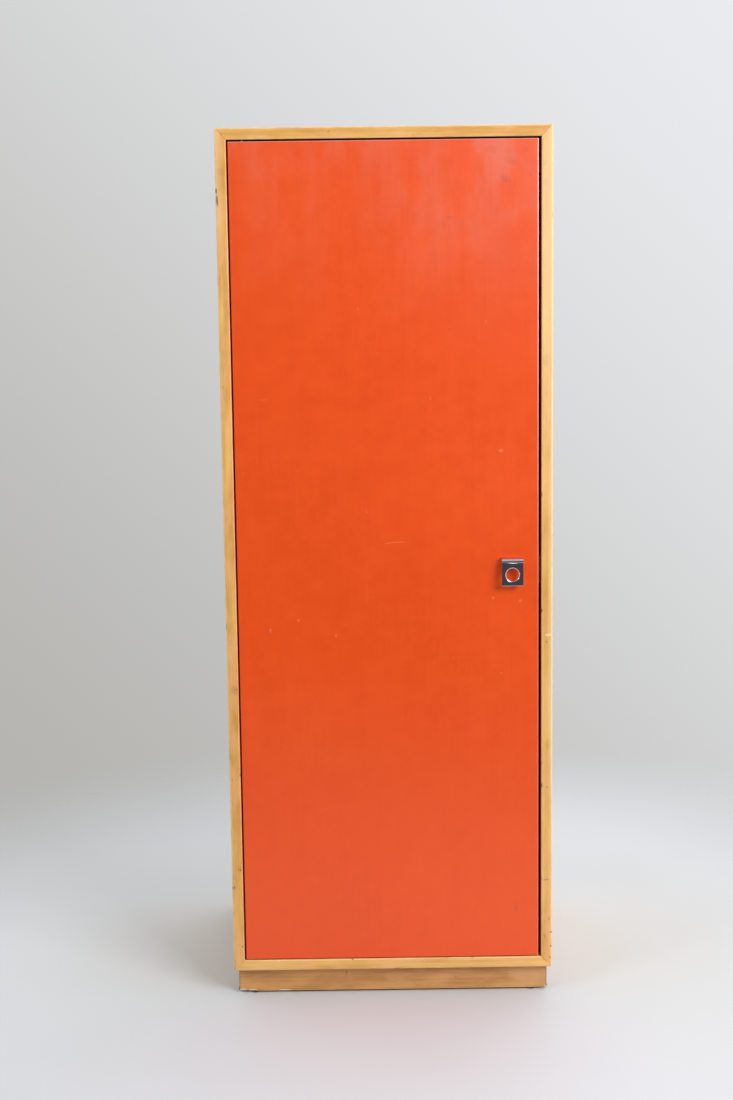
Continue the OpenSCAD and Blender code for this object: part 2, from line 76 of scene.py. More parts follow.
class Nodes:
    """A node tree, built one call at a time. A value may be a socket or a plain number."""

    def __init__(self, tree):
        self.tree = tree

    def feed(self, socket, value):
        if isinstance(value, bpy.types.NodeSocket):
            self.tree.links.new(value, socket)
        else:
            socket.default_value = value

    def add(self, kind, *values, **settings):
        """A new node with these settings, its first inputs fed with the values."""
        node = self.tree.nodes.new("ShaderNode" + kind)
        for name, value in settings.items():
            setattr(node, name, value)
        for socket, value in zip(node.inputs, values):
            self.feed(socket, value)
        return node

    def math(self, operation, *values):
        return self.add("Math", *values, operation=operation).outputs[0]

    def times(self, first, *others):
        for other in others:
            first = self.math("MULTIPLY", first, other)
        return first

    def total(self, *terms):
        """The sum of (weight, value) terms."""
        result = 0.0
        for weight, value in terms:
            result = self.math("MULTIPLY_ADD", value, weight, result)
        return result

    def span(self, value, low, high, to_low=0.0, to_high=1.0):
        """Takes low..high smoothly to to_low..to_high, and holds the ends."""
        node = self.add("MapRange", value, low, high, to_low, to_high, interpolation_type="SMOOTHSTEP")
        return node.outputs["Result"]

    def mix(self, factor, first, second):
        node = self.add("Mix", factor, data_type="RGBA")
        for socket, colour in zip(node.inputs[6:8], (first, second)):
            self.feed(socket, colour if isinstance(colour, bpy.types.NodeSocket) else (*colour, 1.0))
        return node.outputs[2]

    def lay(self, colour, tint, mask, strength):
        """The colour, with strength of the tint laid over it where the mask is 1."""
        return self.mix(self.times(mask, strength), colour, tint)

    def vector(self, operation, *values):
        return self.add("VectorMath", *values, operation=operation).outputs


class Finish(Nodes):
    """A material. Its textures use object coordinates, which are the frame's own, in metres."""

    def __init__(self, name):
        self.data = bpy.data.materials.new(name)
        self.data.use_nodes = True
        super().__init__(self.data.node_tree)
        self.shader = self.tree.nodes["Principled BSDF"]
        self.place = self.add("TexCoord").outputs["Object"]

    def axes(self, order="XYZ", origin=(0.0, 0.0, 0.0)):
        """Object coordinates from an origin, with their axes taken in another order."""
        parts = self.parts(self.vector("SUBTRACT", self.place, origin)[0])
        return self.joined(*(parts[axis] for axis in order))

    def parts(self, vector):
        return self.add("SeparateXYZ", vector).outputs

    def joined(self, *parts):
        return self.add("CombineXYZ", *parts).outputs[0]

    def noise(self, place, scale, detail, roughness=0.5):
        """Noise from 0 to 1. Scale is in features per metre along each axis."""
        scales = scale if isinstance(scale, tuple) else (scale,) * 3
        node = self.add("TexNoise", self.vector("MULTIPLY", place, scales)[0])
        node.inputs["Scale"].default_value = 1.0
        node.inputs["Detail"].default_value = detail
        node.inputs["Roughness"].default_value = roughness
        return node.outputs["Fac"]

    def flecks(self, place, scale, low, high):
        """0, and 1 on scattered flecks. The nearer low and high are to 1, the fewer there are."""
        return self.span(self.noise(place, scale, 1), low, high)

    def cells(self, place, scale):
        """Distance to the nearest of a scatter of points, and that point's own random colour."""
        node = self.add("TexVoronoi", place)
        node.inputs["Scale"].default_value = scale
        return node.outputs["Distance"], node.outputs["Color"]

    def millimetres(self, origin=(0.0, 0.0, 0.0)):
        """X, Y and Z in millimetres from a point."""
        parts = self.parts(self.axes(origin=tuple(origin)))
        return [self.times(parts[axis], 1 / MM) for axis in "XYZ"]

    def marks(self, x, z, marks, soft):
        """1 inside any of the marks, falling to 0 at their outline.

        A mark is x, z, half width and half height in millimetres, and its tilt in degrees if it has one.
        """
        covered = 0.0
        for across, up, half_w, half_h, *tilt in marks:
            turn = math.radians(sum(tilt))
            dx = self.math("SUBTRACT", x, across)
            dz = self.math("SUBTRACT", z, up)
            u = self.total((math.cos(turn) / half_w, dx), (math.sin(turn) / half_w, dz))
            v = self.total((-math.sin(turn) / half_h, dx), (math.cos(turn) / half_h, dz))
            square = self.math("MULTIPLY_ADD", u, u, self.times(v, v))
            covered = self.math("MAXIMUM", covered, self.span(square, soft, 1.0, 1.0, 0.0))
        return covered

    def attribute(self, name):
        return self.add("Attribute", attribute_name=name).outputs["Fac"]

    def bump(self, height, distance, under=None):
        """A bump that stands distance metres high where height is 1, on top of another or none."""
        node = self.add("Bump")
        node.inputs["Distance"].default_value = distance
        self.feed(node.inputs["Height"], height)
        if under is not None:
            self.feed(node.inputs["Normal"], under)
        return node.outputs["Normal"]

    def finish(self, colour, roughness, normal=None, **others):
        """Feeds the shader's sockets, the others named with _ for a space. Returns the material."""
        sockets = {"Base_Color": colour, "Roughness": roughness, **others}
        if normal is not None:
            sockets["Normal"] = normal
        for name, value in sockets.items():
            self.feed(self.shader.inputs[name.replace("_", " ")], value)
        return self.data


def linear(*screen_colour):
    """An 8-bit screen colour as linear light."""
    shares = [value / 255 for value in screen_colour]
    return tuple(c / 12.92 if c <= 0.04045 else ((c + 0.055) / 1.055) ** 2.4 for c in shares)


GRAIN_ORDER = {"X": "XYZ", "Y": "YZX", "Z": "ZXY"}
Tones = namedtuple("Tones", "light dark rosy worn bare")
HONEY = Tones(linear(246, 196, 115), linear(211, 152, 73), linear(242, 180, 119), linear(251, 217, 163),
              linear(248, 220, 178))
PLINTH = Tones(linear(230, 170, 106), linear(182, 126, 68), linear(218, 159, 104),
               linear(232, 180, 124), linear(250, 222, 204))
BRUISE = linear(96, 56, 30)
KNOT = linear(176, 116, 58)


def wood(name, along, seed, tones, gloss=0.42, fleck=1.0, depth=0.0, knots=(), scars=(), scrapes=(),
         faded=(), stained=None):
    """Clear-finished wood with its grain along one axis.

    The arris, dent and bare attributes of a piece show its worn edges, its bruises and its fresh
    chips. Knots are soft dark marks, scars small dark ones, scrapes pale ones. The glare marks are
    painted light: pale patches where the light falls brightest. Depth makes the whole piece darker.
    The gap light is painted light and shade on a face inside a gap round the door: 0 or 1 for X or Z,
    where it begins and where it is full, in millimetres, and its colour.
    """
    mat = Finish(name)
    grain = mat.axes(GRAIN_ORDER[along], origin=(seed * 0.37, seed * 0.53, seed * 0.71))
    sway = mat.noise(grain, (1.6, 9, 9), 2)
    across = mat.parts(grain)
    rings = mat.total((150.0, across["Y"]), (95.0, across["Z"]), (34.0, sway))
    bands = mat.math("MULTIPLY_ADD", mat.math("SINE", rings), 0.5, 0.5)
    fibres = mat.noise(grain, (9, 620, 620), 3, 0.6)
    streaks = mat.noise(grain, (3.5, 130, 130), 3, 0.55)
    blotches = mat.noise(grain, (8, 22, 22), 3, 0.55)
    pores = mat.flecks(grain, (170, 1500, 1500), 0.64, 0.76)
    tone = mat.total((0.11, bands), (0.46, fibres), (0.52, streaks), (0.84, blotches), (1.0, depth - 0.06))
    body = mat.mix(mat.span(tone, 0.58, 1.22), tones.light, tones.dark)
    patches = mat.span(mat.noise(grain, (17, 46, 46), 2), 0.46, 0.64, 0.0, 0.55)
    body = mat.mix(patches, body, tones.rosy)
    body = mat.lay(body, tones.dark, pores, 0.30 * fleck)
    spots = mat.flecks(grain, (95, 210, 210), 0.73, 0.80)
    colour = mat.lay(body, BRUISE, spots, 0.40 * fleck)
    patchy = mat.noise(mat.place, 60, 3)
    x, _, z = mat.millimetres()
    if knots:
        knotted = mat.times(mat.marks(x, z, knots, 0.0), mat.span(streaks, 0.3, 0.6))
        colour = mat.lay(colour, KNOT, knotted, 0.36)
    # Painted light: pale glare, in the worn colour, where the light falls brightest
    if faded:
        colour = mat.lay(colour, tones.worn, mat.marks(x, z, faded, 0.0), 0.5)
    rub = mat.times(mat.attribute("arris"), mat.span(patchy, 0.30, 0.62, 0.20, 0.60))
    colour = mat.mix(rub, colour, tones.worn)
    if scrapes:
        colour = mat.lay(colour, tones.bare, mat.marks(x, z, scrapes, 0.3), 0.85)
    if scars:
        colour = mat.lay(colour, BRUISE, mat.marks(x, z, scars, 0.2), 0.75)
    # Painted light and shade inside a gap round the door, laid over the face near one edge
    if stained:
        axis, begins, full, tint = stained
        colour = mat.mix(mat.span((x, z)[axis], begins, full, 0.0, 0.9), colour, tint)
    ragged = mat.times(patchy, 1.3)
    fresh = mat.span(mat.times(mat.attribute("bare"), ragged), 0.12, 0.50)
    colour = mat.mix(fresh, colour, tones.bare)
    hurt = mat.span(mat.times(mat.attribute("dent"), ragged), 0.12, 0.62)
    colour = mat.mix(hurt, colour, BRUISE)
    sheen = mat.total((0.16, streaks), (0.10, pores), (0.20, hurt), (0.25, fresh), (1.0, gloss - 0.08))
    relief = mat.total((0.5, fibres), (-0.8, pores), (0.3, bands))
    lacquer = mat.bump(mat.noise(mat.place, 240, 1), 0.00005)
    normal = mat.bump(relief, 0.00008, under=lacquer)
    return mat.finish(colour, sheen, normal)


LEAF_W = 0.168


def veneer(name, along, seed):
    """Matched leaves of sliced veneer, side by side in Y, each with a faint cathedral figure."""
    mat = Finish(name)
    grain = mat.axes(GRAIN_ORDER[along], origin=(seed * 0.29, 0.0, 0.0))
    leaf = mat.math("MULTIPLY_ADD", mat.parts(mat.place)["Y"], 1 / LEAF_W, seed * 0.3 + 50.0)
    number = mat.math("FLOOR", leaf)
    mirrored = mat.math("PINGPONG", leaf, 1.0)
    run = mat.parts(grain)["X"]
    sway = mat.joined(run, mirrored, mat.times(number, 0.004))
    drift = mat.noise(sway, (1.3, 0.9, 1.0), 2, 0.45)
    centre = mat.math("SUBTRACT", mirrored, mat.math("MULTIPLY_ADD", drift, 0.5, 0.20))
    arch = mat.times(centre, centre, 46.0)
    rings = mat.total((1.0, arch), (3.4, run), (9.0, drift))
    bands = mat.span(mat.math("SINE", mat.times(rings, 3.6)), -0.7, 1.0)
    fibres = mat.noise(grain, (10, 640, 640), 3, 0.6)
    streaks = mat.noise(grain, (3, 150, 150), 3)
    blotches = mat.noise(mat.place, 6, 4, 0.6)
    flakes = mat.flecks(grain, (60, 420, 420), 0.60, 0.72)
    pores = mat.flecks(grain, (190, 1500, 1500), 0.63, 0.74)
    tint = mat.math("FRACT", mat.times(number, 0.618))
    tone = mat.total((0.14, bands), (0.44, fibres), (0.46, streaks), (0.44, blotches), (0.08, tint),
                     (1.0, 0.06))
    body = mat.mix(mat.span(tone, 0.52, 1.10), HONEY.light, HONEY.dark)
    flaked = mat.lay(body, HONEY.dark, flakes, 0.22)
    within = mat.math("FRACT", leaf)
    edge = mat.math("MINIMUM", within, mat.math("SUBTRACT", 1.0, within))
    seamed = mat.lay(flaked, BRUISE, mat.span(edge, 0.0, 0.004, 1.0, 0.0), 0.22)
    colour = mat.lay(seamed, HONEY.dark, pores, 0.26)
    rubbed = mat.lay(colour, HONEY.worn, mat.attribute("arris"), 0.45)
    scuff = mat.noise(mat.place, 3.5, 4, 0.7)
    sheen = mat.total((0.22, scuff), (0.12, streaks), (0.12, pores), (1.0, 0.44))
    relief = mat.total((0.5, fibres), (-0.8, pores), (0.25, bands))
    normal = mat.bump(relief, 0.00008)
    return mat.finish(rubbed, sheen, normal, Specular_IOR_Level=0.3)


BIRCH_LIGHT = linear(224, 194, 148)
BIRCH_DARK = linear(200, 162, 112)
BIRCH_PORE = linear(150, 106, 64)


def plywood(name):
    """Rotary-cut birch face: wide wandering figure, dry surface."""
    mat = Finish(name)
    grain = mat.axes(GRAIN_ORDER["Z"])
    sway = mat.noise(grain, (1.1, 5, 5), 3)
    bands = mat.math("MULTIPLY_ADD", mat.math("SINE", mat.times(sway, 95.0)), 0.5, 0.5)
    fibres = mat.noise(grain, (14, 520, 520), 3, 0.6)
    streaks = mat.noise(grain, (4, 120, 120), 3)
    blotches = mat.noise(mat.place, 5, 4, 0.6)
    pores = mat.flecks(grain, (90, 1100, 1100), 0.62, 0.74)
    tone = mat.total((0.10, bands), (0.40, fibres), (0.35, streaks), (0.60, blotches))
    body = mat.mix(mat.span(tone, 0.44, 1.00), BIRCH_LIGHT, BIRCH_DARK)
    colour = mat.lay(body, BIRCH_PORE, pores, 0.30)
    relief = mat.total((0.7, fibres), (-0.7, pores), (0.3, bands))
    sheen = mat.total((0.15, blotches), (1.0, 0.55))
    return mat.finish(colour, sheen, mat.bump(relief, 0.00014))


PAINT = linear(240, 84, 18)
PAINT_DEEP = linear(230, 74, 12)
PAINT_WORN = linear(246, 150, 112)
# Painted reflection, partly a film of dirt: the pale sheen over the upper right of the door
PAINT_SHEEN_HAZE = linear(218, 129, 115)
# Painted light: the paint made lighter towards the bottom of the door
PAINT_LOW_LIT = linear(249, 88, 30)
PAINT_GLINT = linear(250, 206, 204)
PAINT_SHADED = linear(150, 38, 8)
GRIME = linear(148, 48, 34)
SOOT = linear(112, 86, 92)

# Marks on the door front, measured from its middle, as Finish.marks() takes them
SMEARS = (
    (106, 603, 5, 13, 8), (120, 615, 15, 5), (138, 603, 5, 12, -8), (1, 612, 5, 11, -14),
    (233, 673, 3.5, 11), (261, 688, 4, 8), (222, 728, 9, 8), (252, 731, 8, 8), (126, 683, 1.8, 7),
    (-110, 593, 3, 3), (197, 727, 4, 2, -15), (179, 476, 1.6, 40), (219, -40, 26, 5, 4),
    (190, 733, 16, 8), (228, 712, 20, 10, -20),
)
SOOT_MARKS = (
    (216, 681, 15, 8, -28), (-261, -254, 2.2, 2.2), (233, -658, 4, 10), (255, -615, 1.6, 1.6),
    (-260, -583, 1.8, 1.8), (252, 132, 1.8, 1.8),
)
CHIPS = (
    (-48, 456, 1.3, 3.4, 8), (259, 538, 1.5, 1.5), (180, 431, 1.3, 2.4), (80, 296, 1.3, 4.6, -6),
    (-38, 92, 1.3, 3.4, 24), (-217, -124, 3.2, 5.5), (192, -69, 3.6, 2.6), (242, -75, 4.2, 3.4),
    (-222, 297, 10.0, 0.9, 2), (-165, -106, 3.0, 3.0), (-97, -135, 2.2, 3.4), (119, -180, 2.4, 1.4),
    (206, -209, 2.6, 2.0), (207, 200, 6.0, 4.0),
)
SCRATCH_MIDDLE = (22.0, -88.0)
SCRATCH_RADIUS = 124.0
SCRATCH_ENDS = (-31.0, 12.0)
SCRATCH_FADE = 8.0


def scratch(mat, x, z):
    """1 on a thin arc scratched into the paint, 0 elsewhere."""
    dx = mat.math("SUBTRACT", x, SCRATCH_MIDDLE[0])
    dz = mat.math("SUBTRACT", z, SCRATCH_MIDDLE[1])
    radius = mat.math("SQRT", mat.math("MULTIPLY_ADD", dx, dx, mat.times(dz, dz)))
    off = mat.math("ABSOLUTE", mat.math("SUBTRACT", radius, SCRATCH_RADIUS))
    left, right = SCRATCH_ENDS
    return mat.times(mat.span(off, 0.3, 1.1, 1.0, 0.0), mat.span(dz, 0.0, 1.0),
                     mat.span(dx, left, left + SCRATCH_FADE),
                     mat.span(dx, right - SCRATCH_FADE, right, 1.0, 0.0))


def paint(name, marked_and_lit):
    """Brushed semi-gloss enamel over plywood; the marked face has the wear of years of use, and painted
    sheen, highlights and shade as well.
    """
    mat = Finish(name)
    shift = 0.0 if marked_and_lit else 3.0
    strokes = mat.noise(mat.axes(origin=(shift, shift, shift)), (190, 190, 7), 3, 0.6)
    veining = mat.noise(mat.axes(origin=(shift, 0, 0)), (70, 70, 3.0), 3)
    mottle = mat.noise(mat.axes(origin=(0, shift, shift)), 30, 5, 0.72)
    clouds = mat.noise(mat.axes(origin=(0, 0, shift)), 3.5, 3)
    tone = mat.total((0.16, strokes), (0.14, veining), (0.55, mottle), (0.40, clouds))
    colour = mat.mix(mat.span(tone, 0.38, 0.88), PAINT_DEEP, PAINT)
    x, y, z = mat.millimetres(door_mid)

    def from_edge(value, size):
        """Millimetres inwards from either edge of the door, across a size of it."""
        return mat.math("SUBTRACT", size / 2 / MM, mat.math("ABSOLUTE", value))

    edge_x = from_edge(x, door_high.x - door_low.x)
    edge_z = from_edge(z, door_high.z - door_low.z)
    edge = mat.math("MINIMUM", edge_x, edge_z)
    face = from_edge(y, door_back_y - door_low.y)
    ragged = mat.noise(mat.place, 190, 3)
    arris = mat.times(mat.span(edge, 0.4, 2.0, 1.0, 0.0), mat.span(face, 0.6, 2.4, 1.0, 0.0))
    rim = mat.times(arris, mat.span(ragged, 0.36, 0.60, 0.05, 0.30))
    colour = mat.mix(rim, colour, PAINT_WORN)
    roughness = [(0.10, mottle), (0.05, strokes), (0.10, clouds), (1.0, 0.25)]
    if marked_and_lit:
        # Painted reflection, partly a film of dirt: a pale sheen over the top and right of the door,
        # strongest where the light falls, and a trace low down
        patches = mat.noise(mat.place, (15, 15, 8), 4, 0.6)
        right_or_top = mat.math("MAXIMUM", mat.span(x, -120.0, 300.0, 0.30, 1.0),
                                mat.span(z, 600.0, 790.0, 0.0, 0.75))
        sheen_haze = mat.times(mat.span(z, 330.0, 820.0), mat.span(clouds, 0.35, 0.65, 0.5, 1.0),
                         mat.span(patches, 0.40, 0.62, 0.30, 1.0),
                         mat.span(veining, 0.38, 0.62, 0.80, 1.0), right_or_top)
        # Painted light: lighter towards the bottom of the door
        colour = mat.mix(mat.span(z, -600.0, -120.0, 0.35, 0.0), colour, PAINT_LOW_LIT)
        low = mat.span(z, -420.0, -160.0, 0.03, 0.0)
        dust_and_sheen = mat.math("MULTIPLY_ADD", sheen_haze, 0.53, low)
        colour = mat.mix(dust_and_sheen, colour, PAINT_SHEEN_HAZE)
        left_edge = mat.times(mat.span(edge_x, 0.2, 1.6, 0.6, 0.0), mat.span(x, -1.0, 0.0, 1.0, 0.0))
        colour = mat.mix(left_edge, colour, PAINT_SHADED)
        right_glint = mat.times(mat.span(edge_x, 0.8, 2.8, 1.0, 0.0), mat.span(x, 0.0, 1.0),
                                mat.span(z, -150.0, 620.0, 0.14, 0.80))
        top_glint = mat.times(mat.span(edge_z, 0.6, 2.2, 1.0, 0.0), mat.span(z, 0.0, 1.0, 0.0, 0.26))
        colour = mat.mix(mat.math("MAXIMUM", right_glint, top_glint), colour, PAINT_GLINT)
        broken = mat.span(mat.noise(mat.place, 260, 3), 0.30, 0.62, 0.35, 1.0)
        smears = mat.times(mat.marks(x, z, SMEARS, 0.0), broken)
        colour = mat.lay(colour, GRIME, smears, 0.16)
        soot = mat.times(mat.marks(x, z, SOOT_MARKS, 0.0), broken)
        colour = mat.lay(colour, SOOT, soot, 0.28)
        chips = mat.times(mat.marks(x, z, CHIPS, 0.1), mat.span(ragged, 0.30, 0.50, 0.4, 1.0))
        lost = mat.times(mat.math("MAXIMUM", chips, scratch(mat, x, z)), 0.34)
        colour = mat.mix(lost, colour, PAINT_WORN)
        distance, own = mat.cells(mat.place, 38.0)
        rare = mat.math("GREATER_THAN", mat.parts(own)["X"], 0.92)
        specks = mat.times(mat.span(distance, 0.016, 0.040, 1.0, 0.0), rare)
        colour = mat.lay(colour, GRIME, specks, 0.45)
        roughness += [(0.14, smears), (0.16, lost), (0.20, dust_and_sheen)]
    relief = mat.total((0.5, strokes), (0.4, veining), (0.6, mottle))
    fine = mat.bump(relief, 0.00005)
    normal = mat.bump(clouds, 0.0004, under=fine)
    return mat.finish(colour, mat.total(*roughness), normal)


def metal(name, colour, tarnish, base_rough, smudge, scratch, pitted=0.86):
    """Plated metal with a little tarnish, finger smudges and fine scratches."""
    mat = Finish(name)
    clouds = mat.noise(mat.place, 110, 4, 0.65)
    fine = mat.noise(mat.place, 400, 3)
    distance, own = mat.cells(mat.place, 420.0)
    rare = mat.math("GREATER_THAN", mat.parts(own)["Y"], pitted)
    pits = mat.times(mat.span(distance, 0.10, 0.22, 1.0, 0.0), rare)
    dull = mat.math("MAXIMUM", mat.span(clouds, 0.50, 0.78, 0.0, 0.5), pits)
    tint = mat.mix(dull, colour, tarnish)
    sheen = mat.total((smudge, clouds), (smudge * 0.8, fine), (0.25, pits), (1.0, base_rough))
    normal = mat.bump(mat.total((1.0, fine), (-3.0, pits)), scratch)
    return mat.finish(tint, sheen, normal, Metallic=1.0)


def moulded(name, colour, dirty, base_rough, texture=900.0, depth=0.00003, sheen_weight=0.0):
    """Moulded plastic, ferrite or felt: a grained body with dirt in patches."""
    mat = Finish(name)
    patches = mat.noise(mat.place, 70, 4, 0.6)
    grain = mat.noise(mat.place, texture, 3, 0.7)
    tone = mat.total((0.7, patches), (0.5, grain))
    tint = mat.mix(mat.span(tone, 0.48, 0.86), colour, dirty)
    rough = mat.total((0.18, patches), (0.12, grain), (1.0, base_rough))
    return mat.finish(tint, rough, mat.bump(grain, depth), Sheen_Weight=sheen_weight)


# ---- meshes ----


def rounded_outline(corners, steps=5, guards=()):
    """The closed outline through corners (x, y, radius). Each point comes with its place in the
    turn: 0 at both ends of a corner's arc and 1 at its middle. Guards are distances from the arcs
    at which a long side gets points of its own, which keep wear near its arris."""
    arcs = []
    for i, (x, y, radius) in enumerate(corners):
        here = Vector((x, y))
        before = (Vector(corners[i - 1][:2]) - here).normalized()
        after = (Vector(corners[(i + 1) % len(corners)][:2]) - here).normalized()
        half = before.angle(after) / 2
        reach = radius / math.tan(half)
        middle = here + (before + after).normalized() * (radius / math.sin(half))
        start = here + before * reach - middle
        end = here + after * reach - middle
        first = math.atan2(start.y, start.x)
        sweep_angle = math.remainder(math.atan2(end.y, end.x) - first, math.tau)
        arc = []
        for k in range(steps + 1):
            angle = first + sweep_angle * k / steps
            turned = Vector((math.cos(angle), math.sin(angle))) * radius
            arc.append((middle + turned, math.sin(math.pi * k / steps)))
        arcs.append(arc)
    points = []
    for arc, following in zip(arcs, arcs[1:] + arcs[:1]):
        points += arc
        run = following[0][0] - arc[-1][0]
        if guards and run.length > 2.1 * guards[-1]:
            ahead = run.normalized()
            points += [(arc[-1][0] + ahead * gap, 0.0) for gap in guards]
            points += [(following[0][0] - ahead * gap, 0.0) for gap in reversed(guards)]
    return points


def rectangle(low, high, radii):
    """The corners of a rectangle, as rounded_outline() takes them."""
    corners = ((low[0], low[1]), (high[0], low[1]), (high[0], high[1]), (low[0], high[1]))
    return [(*corner, radius) for corner, radius in zip(corners, radii)]


def loft(bm, loops):
    """Joins closed loops of equally many vertices into a tube, and closes its two ends."""
    for first, second in zip(loops, loops[1:]):
        for i in range(len(first)):
            j = (i + 1) % len(first)
            bm.faces.new((first[i], first[j], second[j], second[i]))
    bm.faces.new(loops[0])
    bm.faces.new(list(reversed(loops[-1])))


SHARP_ANGLE = 38  # degrees between faces from which their edge stays sharp
Dent = namedtuple("Dent", "where arris half depth bare", defaults=(False,))
GUARDS = (2 * MM, 5 * MM)


def sweep(section, stations, place, dents=()):
    """Lofts a section along its stations into a new bmesh.

    section: (point, turn) pairs in a and b. A station is (s, slope, inset): each point lies at
    s + slope * a, moved inset towards the middle. place(a, b, s) gives a point of the piece.
    A dent has its s, the (a, b) of the arris it is on, half length and depth, and is dark unless bare.
    """
    bm = bmesh.new()
    arris_layer, dent_layer, bare_layer = map(bm.verts.layers.float.new, ("arris", "dent", "bare"))
    middle = sum((point for point, _ in section), Vector((0, 0))) / len(section)
    loops = []
    for base, slope, inset in stations:
        loop = []
        for point, turn in section:
            inwards = middle - point
            a, b = (at + math.copysign(min(inset, abs(way)), way) for at, way in zip(point, inwards))
            s = base + slope * point.x
            hit = {True: 0.0, False: 0.0}
            pull = 0.0
            for dent in dents:
                off = (point - Vector(dent.arris)).length / (2.0 * MM + dent.depth)
                share = math.exp(-((s - dent.where) / dent.half) ** 2 - off * off)
                hit[dent.bare] = max(hit[dent.bare], share * min(1.0, dent.depth / (0.6 * MM)))
                pull = max(pull, share * dent.depth)
            push = inwards.normalized() * pull
            vertex = bm.verts.new(place(a + push.x, b + push.y, s))
            vertex[arris_layer] = turn
            vertex[dent_layer] = hit[False]
            vertex[bare_layer] = hit[True]
            loop.append(vertex)
        loops.append(loop)
    loft(bm, loops)
    return bm


def spread(first, last, step, dents=()):
    """Places along a piece: even ones, with more round each dent."""
    count = max(1, round((last - first) / step))
    places = {first + (last - first) * i / count for i in range(count + 1)}
    for dent in dents:
        places |= {dent.where + dent.half * k / 2 for k in range(-4, 5)}
    return sorted(p for p in places if first <= p <= last)


def into_scene(name, data):
    """A new object in the scene, of a mesh, a light or a camera."""
    made = bpy.data.objects.new(name, data)
    bpy.context.scene.collection.objects.link(made)
    return made


def mesh_object(name, bm):
    bmesh.ops.recalc_face_normals(bm, faces=bm.faces)
    mesh = bpy.data.meshes.new(name)
    bm.to_mesh(mesh)
    bm.free()
    return into_scene(name, mesh)


def even_shading(piece):
    normals = piece.modifiers.new("normals", "WEIGHTED_NORMAL")
    normals.keep_sharp = True


def settle(name, bm, material, node, cutters=(), sharp=SHARP_ANGLE):
    """Makes the piece that stands for a CAD node, on that node's body and with the given material."""
    piece = mesh_object(name, bm)
    if cutters:
        cut(piece, cutters)
    piece.data.materials.clear()
    piece.data.materials.append(material)
    piece.data.shade_smooth()
    piece.data.set_sharp_from_angle(angle=math.radians(sharp))
    even_shading(piece)
    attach(piece, BODY_OF[node])
    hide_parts(node)


def cut(piece, cutters):
    """Takes the cutters' shapes out of a piece for good, and removes them."""
    for cutter in cutters:
        change = piece.modifiers.new("cut", "BOOLEAN")
        change.operation = "DIFFERENCE"
        change.solver = "EXACT"
        change.object = cutter
    made = piece.evaluated_get(bpy.context.evaluated_depsgraph_get())
    mesh = bpy.data.meshes.new_from_object(made)
    piece.modifiers.clear()
    piece.data = mesh
    for cutter in cutters:
        bpy.data.objects.remove(cutter)


def solid_tool(name, rings):
    """A cutter lofted through rings of equally many points."""
    bm = bmesh.new()
    loft(bm, [[bm.verts.new(point) for point in points] for points in rings])
    return mesh_object(name, bm)


def tool(name, outline, start, end, axis="Y"):
    """A cutter: an outline drawn out from start to end along Y or Z."""
    order = {"Y": lambda a, b, s: (a, s, b), "Z": lambda a, b, s: (a, b, s)}[axis]
    ends = ((start, 0.0), (end, 1.0))
    return solid_tool(name, [[order(a, b, s) for a, b in outline(share)] for s, share in ends])


def circle(x, y, radius, count=48):
    angles = [math.tau * i / count for i in range(count)]
    return [(x + radius * math.cos(angle), y + radius * math.sin(angle)) for angle in angles]


def ring(x, y, radius, end_radius=None):
    """A circle for tool(), or the two ends of a cone."""
    def outline(share):
        return circle(x, y, radius + ((end_radius or radius) - radius) * share)
    return outline


WELD_REACH = 0.001 * MM
BEVEL_FROM = 35  # degrees between two faces


def soften(node, width):
    """Rounds a CAD node's edges as it is drawn. The node's own mesh stays as it was imported."""
    piece = frame["nodes"][node]
    weld = piece.modifiers.new("weld", "WELD")
    weld.merge_threshold = WELD_REACH
    bevel = piece.modifiers.new("edges", "BEVEL")
    bevel.width = width
    bevel.segments = 2
    bevel.limit_method = "ANGLE"
    bevel.angle_limit = math.radians(BEVEL_FROM)
    even_shading(piece)


# ---- the frame and the boards ----

OUTER_ARRIS = 3.6 * MM
INNER_ARRIS = 2.4 * MM
JOINT_EASE = 0.35 * MM  # the eased edges that show as fine lines where two pieces meet
MITRE_GAP = 0.08 * MM
MITRE_CLEAR = 4 * MM  # from the end of a mitre to the first square station
STRIP_STEP = 24 * MM
DENTS_PER_METRE = 12
BACK_DENTS = 14


def side_of_frame(side):
    """Start corner, direction along and direction inwards of a side, in X and Z, and its length."""
    west, foot = frame_low.x, frame_low.z
    east, top = frame_high.x, frame_high.z
    return {
        "left": ((west, foot), (0, 1), (1, 0), top - foot),
        "top": ((west, top), (1, 0), (0, -1), east - west),
        "right": ((east, top), (0, -1), (-1, 0), top - foot),
        "bottom": ((east, foot), (-1, 0), (0, 1), east - west),
    }[side]


def mitred(side, section, dents=()):
    """Sweeps a section along a side of the frame. Its a runs inwards from the outer face, its b is Y."""
    (x0, z0), along, inwards, length = side_of_frame(side)

    def place(a, b, s):
        return x0 + along[0] * s + inwards[0] * a, b, z0 + along[1] * s + inwards[1] * a

    first = strip_w + MITRE_CLEAR
    stations = [(MITRE_GAP, 1, JOINT_EASE * 0.6), (MITRE_GAP + JOINT_EASE * 0.6, 1, 0.0)]
    stations += [(s, 0, 0.0) for s in spread(first, length - first, STRIP_STEP, dents)]
    stations += [(length - s, -1, inset) for s, _, inset in reversed(stations[:2])]
    return sweep(section, stations, place, dents)


SLIGHTEST_DENT = 0.12 * MM
DENT_RANGE = 0.55 * MM


def random_dents(seed, length, arrises, count):
    """Small knocks, most of them slight, spread over the arrises of a piece."""
    dice = random.Random(seed)
    dents = []
    for _ in range(count):
        depth = SLIGHTEST_DENT + DENT_RANGE * dice.random() ** 3
        half = dice.uniform(1.5, 4.5) * MM * (1 + depth / MM)
        dents.append(Dent(dice.uniform(0.05, 0.95) * length, dice.choice(arrises), half, depth))
    return dents


PLATE_PLAY = 0.1 * MM
BORE_PLAY = 0.05 * MM
LIPPING_FRONTS = ((0.0, front_y), (strip_w, front_y))


